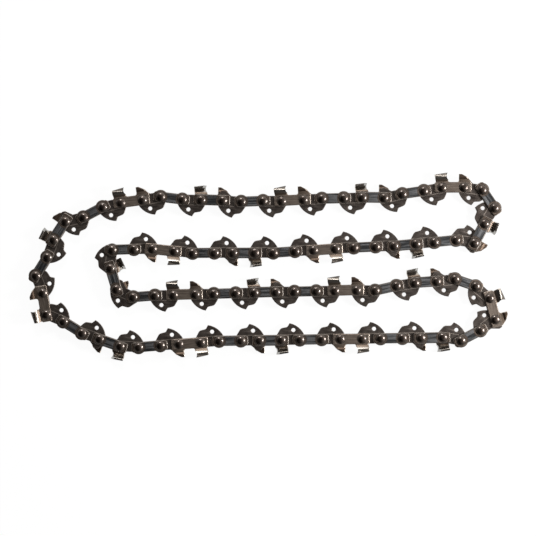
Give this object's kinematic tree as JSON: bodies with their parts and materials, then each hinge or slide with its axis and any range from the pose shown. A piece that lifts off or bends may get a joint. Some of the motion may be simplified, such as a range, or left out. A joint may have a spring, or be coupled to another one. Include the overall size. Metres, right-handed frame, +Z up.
{
  "type": "chainsaw chain loop",
  "caption": "Closed loop of low-profile saw chain, folded flat: drive links with hooked tangs, tie straps, left and right chrome cutters with depth gauges, on domed rivets.",
  "frame": {"origin": "on the surface that the loop lies on, under the middle of its box", "axes": "+X along the long strands, +Y across them, +Z up out of the side that the loop lies on"},
  "size_m": [0.2212, 0.087, 0.0067],
  "materials": {
    "drive_link_steel": "oil-blackened, satin",
    "strap_steel": "blued, satin",
    "cutter_steel": "hardened, satin, chrome-plated top plate"
  },
  "bodies": {
    "tie_link_01": {"tie_link_01": "strap_steel"},
    "left_cutter_link_02": {"left_cutter_link_02": "cutter_steel"},
    "tie_link_03": {"tie_link_03": "strap_steel"},
    "right_cutter_link_04": {"right_cutter_link_04": "cutter_steel"},
    "tie_link_05": {"tie_link_05": "strap_steel"},
    "left_cutter_link_06": {"left_cutter_link_06": "cutter_steel"},
    "tie_link_07": {"tie_link_07": "strap_steel"},
    "right_cutter_link_08": {"right_cutter_link_08": "cutter_steel"},
    "tie_straps_09": {"tie_straps_09": "strap_steel"},
    "drive_link_09": {"drive_link_09": "drive_link_steel"},
    "left_cutter_straps_10": {"left_cutter_straps_10": "cutter_steel"},
    "drive_link_10": {"drive_link_10": "drive_link_steel"},
    "tie_link_11": {"tie_link_11": "strap_steel"},
    "right_cutter_link_12": {"right_cutter_link_12": "cutter_steel"},
    "tie_link_13": {"tie_link_13": "strap_steel"},
    "left_cutter_link_14": {"left_cutter_link_14": "cutter_steel"},
    "tie_link_15": {"tie_link_15": "strap_steel"},
    "right_cutter_link_16": {"right_cutter_link_16": "cutter_steel"},
    "tie_link_17": {"tie_link_17": "strap_steel"},
    "left_cutter_link_18": {"left_cutter_link_18": "cutter_steel"},
    "tie_straps_19": {"tie_straps_19": "strap_steel"},
    "drive_link_19": {"drive_link_19": "drive_link_steel"},
    "right_cutter_straps_20": {"right_cutter_straps_20": "cutter_steel"},
    "drive_link_20": {"drive_link_20": "drive_link_steel"},
    "tie_straps_21": {"tie_straps_21": "strap_steel"},
    "drive_link_21": {"drive_link_21": "drive_link_steel"},
    "left_cutter_link_22": {"left_cutter_link_22": "cutter_steel"},
    "tie_link_23": {"tie_link_23": "strap_steel"},
    "right_cutter_link_24": {"right_cutter_link_24": "cutter_steel"},
    "tie_link_25": {"tie_link_25": "strap_steel"},
    "left_cutter_link_26": {"left_cutter_link_26": "cutter_steel"},
    "tie_link_27": {"tie_link_27": "strap_steel"},
    "right_cutter_link_28": {"right_cutter_link_28": "cutter_steel"},
    "tie_link_29": {"tie_link_29": "strap_steel"},
    "left_cutter_link_30": {"left_cutter_link_30": "cutter_steel"},
    "tie_link_31": {"tie_link_31": "strap_steel"},
    "right_cutter_straps_32": {"right_cutter_straps_32": "cutter_steel"},
    "drive_link_32": {"drive_link_32": "drive_link_steel"},
    "tie_straps_33": {"tie_straps_33": "strap_steel"},
    "drive_link_33": {"drive_link_33": "drive_link_steel"},
    "left_cutter_straps_34": {"left_cutter_straps_34": "cutter_steel"},
    "drive_link_34": {"drive_link_34": "drive_link_steel"},
    "tie_straps_35": {"tie_straps_35": "strap_steel"},
    "drive_link_35": {"drive_link_35": "drive_link_steel"},
    "right_cutter_link_36": {"right_cutter_link_36": "cutter_steel"},
    "tie_link_37": {"tie_link_37": "strap_steel"},
    "left_cutter_link_38": {"left_cutter_link_38": "cutter_steel"},
    "tie_link_39": {"tie_link_39": "strap_steel"},
    "right_cutter_link_40": {"right_cutter_link_40": "cutter_steel"},
    "tie_link_41": {"tie_link_41": "strap_steel"},
    "left_cutter_link_42": {"left_cutter_link_42": "cutter_steel"},
    "tie_link_43": {"tie_link_43": "strap_steel"},
    "right_cutter_link_44": {"right_cutter_link_44": "cutter_steel"},
    "tie_straps_45": {"tie_straps_45": "strap_steel"},
    "drive_link_45": {"drive_link_45": "drive_link_steel"},
    "left_cutter_straps_46": {"left_cutter_straps_46": "cutter_steel"},
    "drive_link_46": {"drive_link_46": "drive_link_steel"}
  },
  "joints": [
    {"name": "pivot_54", "type": "hinge", "parent": "tie_link_27", "child": "right_cutter_link_28", "pos_m": [-0.0312, -0.03497, 0.00337], "axis": [0, 0, 1], "range_deg": [-6.04, 0.01]},
    {"name": "pivot_56", "type": "hinge", "parent": "right_cutter_link_28", "child": "tie_link_29", "pos_m": [-0.04979, -0.03636, 0.00337], "axis": [0, 0, 1], "range_deg": [-0.01, 3.79]},
    {"name": "pivot_58", "type": "hinge", "parent": "tie_link_29", "child": "left_cutter_link_30", "pos_m": [-0.06838, -0.03674, 0.00337], "axis": [0, 0, 1], "range_deg": [-0.01, 15.15]},
    {"name": "pivot_60", "type": "hinge", "parent": "left_cutter_link_30", "child": "tie_link_31", "pos_m": [-0.086, -0.03067, 0.00337], "axis": [0, 0, 1], "range_deg": [-0.01, 4.87]},
    {"name": "pivot_62", "type": "hinge", "parent": "tie_link_31", "child": "right_cutter_straps_32", "pos_m": [-0.10247, -0.02205, 0.00337], "axis": [0, 0, 1], "range_deg": [-0.01, 62.85]},
    {"name": "pivot_63", "type": "hinge", "parent": "right_cutter_straps_32", "child": "drive_link_32", "pos_m": [-0.10418, -0.01214, 0.00337], "axis": [0, 0, 1], "range_deg": [-7.6, 0.01]},
    {"name": "pivot_64", "type": "hinge", "parent": "drive_link_32", "child": "tie_straps_33", "pos_m": [-0.10731, -0.00415, 0.00337], "axis": [0, 0, 1], "range_deg": [-0.01, 55.87]},
    {"name": "pivot_65", "type": "hinge", "parent": "tie_straps_33", "child": "drive_link_33", "pos_m": [-0.10199, 0.00439, 0.00337], "axis": [0, 0, 1], "range_deg": [-9.16, 0.01]},
    {"name": "pivot_66", "type": "hinge", "parent": "drive_link_33", "child": "left_cutter_straps_34", "pos_m": [-0.09913, 0.01248, 0.00337], "axis": [0, 0, 1], "range_deg": [-0.01, 17.47]},
    {"name": "pivot_67", "type": "hinge", "parent": "left_cutter_straps_34", "child": "drive_link_34", "pos_m": [-0.09364, 0.02091, 0.00337], "axis": [0, 0, 1], "range_deg": [-0.01, 48.8]},
    {"name": "pivot_68", "type": "hinge", "parent": "drive_link_34", "child": "tie_straps_35", "pos_m": [-0.08528, 0.02284, 0.00337], "axis": [0, 0, 1], "range_deg": [-12.86, 0.01]},
    {"name": "pivot_69", "type": "hinge", "parent": "tie_straps_35", "child": "drive_link_35", "pos_m": [-0.07639, 0.02754, 0.00337], "axis": [0, 0, 1], "range_deg": [-0.01, 15.08]},
    {"name": "pivot_70", "type": "hinge", "parent": "drive_link_35", "child": "right_cutter_link_36", "pos_m": [-0.06803, 0.02949, 0.00337], "axis": [0, 0, 1], "range_deg": [-3.81, 0.01]},
    {"name": "pivot_72", "type": "hinge", "parent": "right_cutter_link_36", "child": "tie_link_37", "pos_m": [-0.0496, 0.03228, 0.00337], "axis": [0, 0, 1], "range_deg": [-0.01, 2.6]},
    {"name": "pivot_74", "type": "hinge", "parent": "tie_link_37", "child": "left_cutter_link_38", "pos_m": [-0.03104, 0.03083, 0.00337], "axis": [0, 0, 1], "range_deg": [-6.39, 0.01]},
    {"name": "pivot_76", "type": "hinge", "parent": "left_cutter_link_38", "child": "tie_link_39", "pos_m": [-0.01242, 0.03002, 0.00337], "axis": [0, 0, 1], "range_deg": [-10.06, 0.01]},
    {"name": "pivot_78", "type": "hinge", "parent": "tie_link_39", "child": "right_cutter_link_40", "pos_m": [0.00621, 0.03038, 0.00337], "axis": [0, 0, 1], "range_deg": [-10.44, 0.01]},
    {"name": "pivot_80", "type": "hinge", "parent": "right_cutter_link_40", "child": "tie_link_41", "pos_m": [0.02482, 0.03145, 0.00337], "axis": [0, 0, 1], "range_deg": [-8.19, 0.01]},
    {"name": "pivot_82", "type": "hinge", "parent": "tie_link_41", "child": "left_cutter_link_42", "pos_m": [0.04345, 0.03197, 0.00337], "axis": [0, 0, 1], "range_deg": [-22.79, 0.01]},
    {"name": "pivot_84", "type": "hinge", "parent": "left_cutter_link_42", "child": "tie_link_43", "pos_m": [0.06191, 0.03357, 0.00337], "axis": [0, 0, 1], "range_deg": [-16.3, 0.01]},
    {"name": "pivot_86", "type": "hinge", "parent": "tie_link_43", "child": "right_cutter_link_44", "pos_m": [0.08031, 0.03656, 0.00337], "axis": [0, 0, 1], "range_deg": [-2.57, 0.01]},
    {"name": "pivot_88", "type": "hinge", "parent": "right_cutter_link_44", "child": "tie_straps_45", "pos_m": [0.09887, 0.03547, 0.00337], "axis": [0, 0, 1], "range_deg": [-0.01, 29.22]},
    {"name": "main_fold", "type": "hinge", "parent": "tie_straps_45", "child": "drive_link_45", "pos_m": [0.1045, 0.02713, 0.00337], "axis": [0, 0, 1], "range_deg": [0, 42.73]},
    {"name": "pivot_90", "type": "hinge", "parent": "drive_link_45", "child": "left_cutter_straps_46", "pos_m": [0.09994, 0.01986, 0.00337], "axis": [0, 0, 1], "range_deg": [-19.61, 0.01]},
    {"name": "pivot_91", "type": "hinge", "parent": "left_cutter_straps_46", "child": "drive_link_46", "pos_m": [0.09523, 0.01097, 0.00337], "axis": [0, 0, 1], "range_deg": [-0.01, 55.63]},
    {"name": "pivot_52", "type": "hinge", "parent": "tie_link_27", "child": "left_cutter_link_26", "pos_m": [-0.01259, -0.03414, 0.00337], "axis": [0, 0, -1], "range_deg": [-13.2, 0.01]},
    {"name": "pivot_50", "type": "hinge", "parent": "left_cutter_link_26", "child": "tie_link_25", "pos_m": [0.00605, -0.03384, 0.00337], "axis": [0, 0, -1], "range_deg": [-13.21, 0.01]},
    {"name": "pivot_48", "type": "hinge", "parent": "tie_link_25", "child": "right_cutter_link_24", "pos_m": [0.02469, -0.03354, 0.00337], "axis": [0, 0, -1], "range_deg": [-16.43, 0.01]},
    {"name": "pivot_46", "type": "hinge", "parent": "right_cutter_link_24", "child": "tie_link_23", "pos_m": [0.04333, -0.03325, 0.00337], "axis": [0, 0, -1], "range_deg": [-17.83, 0.01]},
    {"name": "pivot_44", "type": "hinge", "parent": "tie_link_23", "child": "left_cutter_link_22", "pos_m": [0.06196, -0.03298, 0.00337], "axis": [0, 0, -1], "range_deg": [-16.81, 0.01]},
    {"name": "pivot_42", "type": "hinge", "parent": "left_cutter_link_22", "child": "drive_link_21", "pos_m": [0.0806, -0.0326, 0.00337], "axis": [0, 0, -1], "range_deg": [-26.15, 0.01]},
    {"name": "pivot_41", "type": "hinge", "parent": "drive_link_21", "child": "tie_straps_21", "pos_m": [0.08905, -0.03411, 0.00337], "axis": [0, 0, -1], "range_deg": [-0.01, 25.85]},
    {"name": "pivot_40", "type": "hinge", "parent": "tie_straps_21", "child": "drive_link_20", "pos_m": [0.09797, -0.02946, 0.00337], "axis": [0, 0, -1], "range_deg": [-4.65, 0.01]},
    {"name": "pivot_39", "type": "hinge", "parent": "drive_link_20", "child": "right_cutter_straps_20", "pos_m": [0.10487, -0.02436, 0.00337], "axis": [0, 0, -1], "range_deg": [-0.01, 57.06]},
    {"name": "pivot_38", "type": "hinge", "parent": "right_cutter_straps_20", "child": "drive_link_19", "pos_m": [0.10224, -0.01465, 0.00337], "axis": [0, 0, -1], "range_deg": [-0.01, 19.27]},
    {"name": "pivot_37", "type": "hinge", "parent": "drive_link_19", "child": "tie_straps_19", "pos_m": [0.09579, -0.00899, 0.00337], "axis": [0, 0, -1], "range_deg": [-0.01, 7.94]},
    {"name": "pivot_36", "type": "hinge", "parent": "tie_straps_19", "child": "left_cutter_link_18", "pos_m": [0.08628, -0.00573, 0.00337], "axis": [0, 0, -1], "range_deg": [-0.01, 13.29]},
    {"name": "pivot_34", "type": "hinge", "parent": "left_cutter_link_18", "child": "tie_link_17", "pos_m": [0.06773, -0.00753, 0.00337], "axis": [0, 0, -1], "range_deg": [-12.94, 0.01]},
    {"name": "pivot_32", "type": "hinge", "parent": "tie_link_17", "child": "right_cutter_link_16", "pos_m": [0.04943, -0.01103, 0.00337], "axis": [0, 0, -1], "range_deg": [-21.57, 0.01]},
    {"name": "pivot_30", "type": "hinge", "parent": "right_cutter_link_16", "child": "tie_link_15", "pos_m": [0.0308, -0.0111, 0.00337], "axis": [0, 0, -1], "range_deg": [-5.53, 0.01]},
    {"name": "pivot_28", "type": "hinge", "parent": "tie_link_15", "child": "left_cutter_link_14", "pos_m": [0.01216, -0.01152, 0.00337], "axis": [0, 0, -1], "range_deg": [-4.79, 0.01]},
    {"name": "pivot_26", "type": "hinge", "parent": "left_cutter_link_14", "child": "tie_link_13", "pos_m": [-0.00647, -0.01199, 0.00337], "axis": [0, 0, -1], "range_deg": [-3.21, 0.01]},
    {"name": "pivot_24", "type": "hinge", "parent": "tie_link_13", "child": "right_cutter_link_12", "pos_m": [-0.02511, -0.01252, 0.00337], "axis": [0, 0, -1], "range_deg": [-1.99, 0.01]},
    {"name": "pivot_22", "type": "hinge", "parent": "right_cutter_link_12", "child": "tie_link_11", "pos_m": [-0.04374, -0.01305, 0.00337], "axis": [0, 0, -1], "range_deg": [-0.01, 3.62]},
    {"name": "pivot_20", "type": "hinge", "parent": "tie_link_11", "child": "drive_link_10", "pos_m": [-0.06235, -0.01407, 0.00337], "axis": [0, 0, -1], "range_deg": [-20.84, 0.01]},
    {"name": "pivot_19", "type": "hinge", "parent": "drive_link_10", "child": "left_cutter_straps_10", "pos_m": [-0.07009, -0.01038, 0.00337], "axis": [0, 0, -1], "range_deg": [-38.34, 0.01]},
    {"name": "pivot_18", "type": "hinge", "parent": "left_cutter_straps_10", "child": "drive_link_09", "pos_m": [-0.07295, -0.00073, 0.00337], "axis": [0, 0, -1], "range_deg": [-13.65, 0.01]},
    {"name": "pivot_17", "type": "hinge", "parent": "drive_link_09", "child": "tie_straps_09", "pos_m": [-0.07208, 0.0078, 0.00337], "axis": [0, 0, -1], "range_deg": [-73.95, 0.01]},
    {"name": "pivot_16", "type": "hinge", "parent": "tie_straps_09", "child": "right_cutter_link_08", "pos_m": [-0.06203, 0.00809, 0.00337], "axis": [0, 0, -1], "range_deg": [-0.01, 8.57]},
    {"name": "pivot_14", "type": "hinge", "parent": "right_cutter_link_08", "child": "tie_link_07", "pos_m": [-0.04344, 0.00727, 0.00337], "axis": [0, 0, -1], "range_deg": [-3.14, 0.01]},
    {"name": "pivot_12", "type": "hinge", "parent": "tie_link_07", "child": "left_cutter_link_06", "pos_m": [-0.02486, 0.00643, 0.00337], "axis": [0, 0, -1], "range_deg": [-0.01, 11.48]},
    {"name": "pivot_10", "type": "hinge", "parent": "left_cutter_link_06", "child": "tie_link_05", "pos_m": [-0.00622, 0.00648, 0.00337], "axis": [0, 0, -1], "range_deg": [-0.01, 2.45]},
    {"name": "pivot_08", "type": "hinge", "parent": "tie_link_05", "child": "right_cutter_link_04", "pos_m": [0.0124, 0.00715, 0.00337], "axis": [0, 0, -1], "range_deg": [-0.01, 4.36]},
    {"name": "pivot_06", "type": "hinge", "parent": "right_cutter_link_04", "child": "tie_link_03", "pos_m": [0.03099, 0.00842, 0.00337], "axis": [0, 0, -1], "range_deg": [-4.18, 0.01]},
    {"name": "pivot_04", "type": "hinge", "parent": "tie_link_03", "child": "left_cutter_link_02", "pos_m": [0.04961, 0.0093, 0.00337], "axis": [0, 0, -1], "range_deg": [-5.75, 0.01]},
    {"name": "pivot_02", "type": "hinge", "parent": "left_cutter_link_02", "child": "tie_link_01", "pos_m": [0.0682, 0.0106, 0.00337], "axis": [0, 0, -1], "range_deg": [-4.36, 0.01]}
  ],
  "couplings": [
    {"joint": "pivot_54", "follows": "main_fold", "ratio": -0.14091},
    {"joint": "pivot_56", "follows": "main_fold", "ratio": 0.088326},
    {"joint": "pivot_58", "follows": "main_fold", "ratio": 0.35434},
    {"joint": "pivot_60", "follows": "main_fold", "ratio": 0.11367},
    {"joint": "pivot_62", "follows": "main_fold", "ratio": 1.4706},
    {"joint": "pivot_63", "follows": "main_fold", "ratio": -0.17753},
    {"joint": "pivot_64", "follows": "main_fold", "ratio": 1.3073},
    {"joint": "pivot_65", "follows": "main_fold", "ratio": -0.21415},
    {"joint": "pivot_66", "follows": "main_fold", "ratio": 0.40865},
    {"joint": "pivot_67", "follows": "main_fold", "ratio": 1.1418},
    {"joint": "pivot_68", "follows": "main_fold", "ratio": -0.30062},
    {"joint": "pivot_69", "follows": "main_fold", "ratio": 0.35254},
    {"joint": "pivot_70", "follows": "main_fold", "ratio": -0.088888},
    {"joint": "pivot_72", "follows": "main_fold", "ratio": 0.060475},
    {"joint": "pivot_74", "follows": "main_fold", "ratio": -0.14912},
    {"joint": "pivot_76", "follows": "main_fold", "ratio": -0.23509},
    {"joint": "pivot_78", "follows": "main_fold", "ratio": -0.24396},
    {"joint": "pivot_80", "follows": "main_fold", "ratio": -0.1913},
    {"joint": "pivot_82", "follows": "main_fold", "ratio": -0.53299},
    {"joint": "pivot_84", "follows": "main_fold", "ratio": -0.38122},
    {"joint": "pivot_86", "follows": "main_fold", "ratio": -0.05991},
    {"joint": "pivot_88", "follows": "main_fold", "ratio": 0.68363},
    {"joint": "pivot_90", "follows": "main_fold", "ratio": -0.45869},
    {"joint": "pivot_91", "follows": "main_fold", "ratio": 1.3016},
    {"joint": "pivot_52", "follows": "main_fold", "ratio": -0.30864},
    {"joint": "pivot_50", "follows": "main_fold", "ratio": -0.30893},
    {"joint": "pivot_48", "follows": "main_fold", "ratio": -0.38421},
    {"joint": "pivot_46", "follows": "main_fold", "ratio": -0.41695},
    {"joint": "pivot_44", "follows": "main_fold", "ratio": -0.3931},
    {"joint": "pivot_42", "follows": "main_fold", "ratio": -0.6116},
    {"joint": "pivot_41", "follows": "main_fold", "ratio": 0.60463},
    {"joint": "pivot_40", "follows": "main_fold", "ratio": -0.10847},
    {"joint": "pivot_39", "follows": "main_fold", "ratio": 1.3352},
    {"joint": "pivot_38", "follows": "main_fold", "ratio": 0.45074},
    {"joint": "pivot_37", "follows": "main_fold", "ratio": 0.18545},
    {"joint": "pivot_36", "follows": "main_fold", "ratio": 0.3106},
    {"joint": "pivot_34", "follows": "main_fold", "ratio": -0.30246},
    {"joint": "pivot_32", "follows": "main_fold", "ratio": -0.50461},
    {"joint": "pivot_30", "follows": "main_fold", "ratio": -0.12907},
    {"joint": "pivot_28", "follows": "main_fold", "ratio": -0.11165},
    {"joint": "pivot_26", "follows": "main_fold", "ratio": -0.074811},
    {"joint": "pivot_24", "follows": "main_fold", "ratio": -0.046201},
    {"joint": "pivot_22", "follows": "main_fold", "ratio": 0.084264},
    {"joint": "pivot_20", "follows": "main_fold", "ratio": -0.48738},
    {"joint": "pivot_19", "follows": "main_fold", "ratio": -0.89711},
    {"joint": "pivot_18", "follows": "main_fold", "ratio": -0.31918},
    {"joint": "pivot_17", "follows": "main_fold", "ratio": -1.7304},
    {"joint": "pivot_16", "follows": "main_fold", "ratio": 0.2002},
    {"joint": "pivot_14", "follows": "main_fold", "ratio": -0.073222},
    {"joint": "pivot_12", "follows": "main_fold", "ratio": 0.26846},
    {"joint": "pivot_10", "follows": "main_fold", "ratio": 0.057097},
    {"joint": "pivot_08", "follows": "main_fold", "ratio": 0.10178},
    {"joint": "pivot_06", "follows": "main_fold", "ratio": -0.097535},
    {"joint": "pivot_04", "follows": "main_fold", "ratio": -0.13419},
    {"joint": "pivot_02", "follows": "main_fold", "ratio": -0.10168}
  ]
}
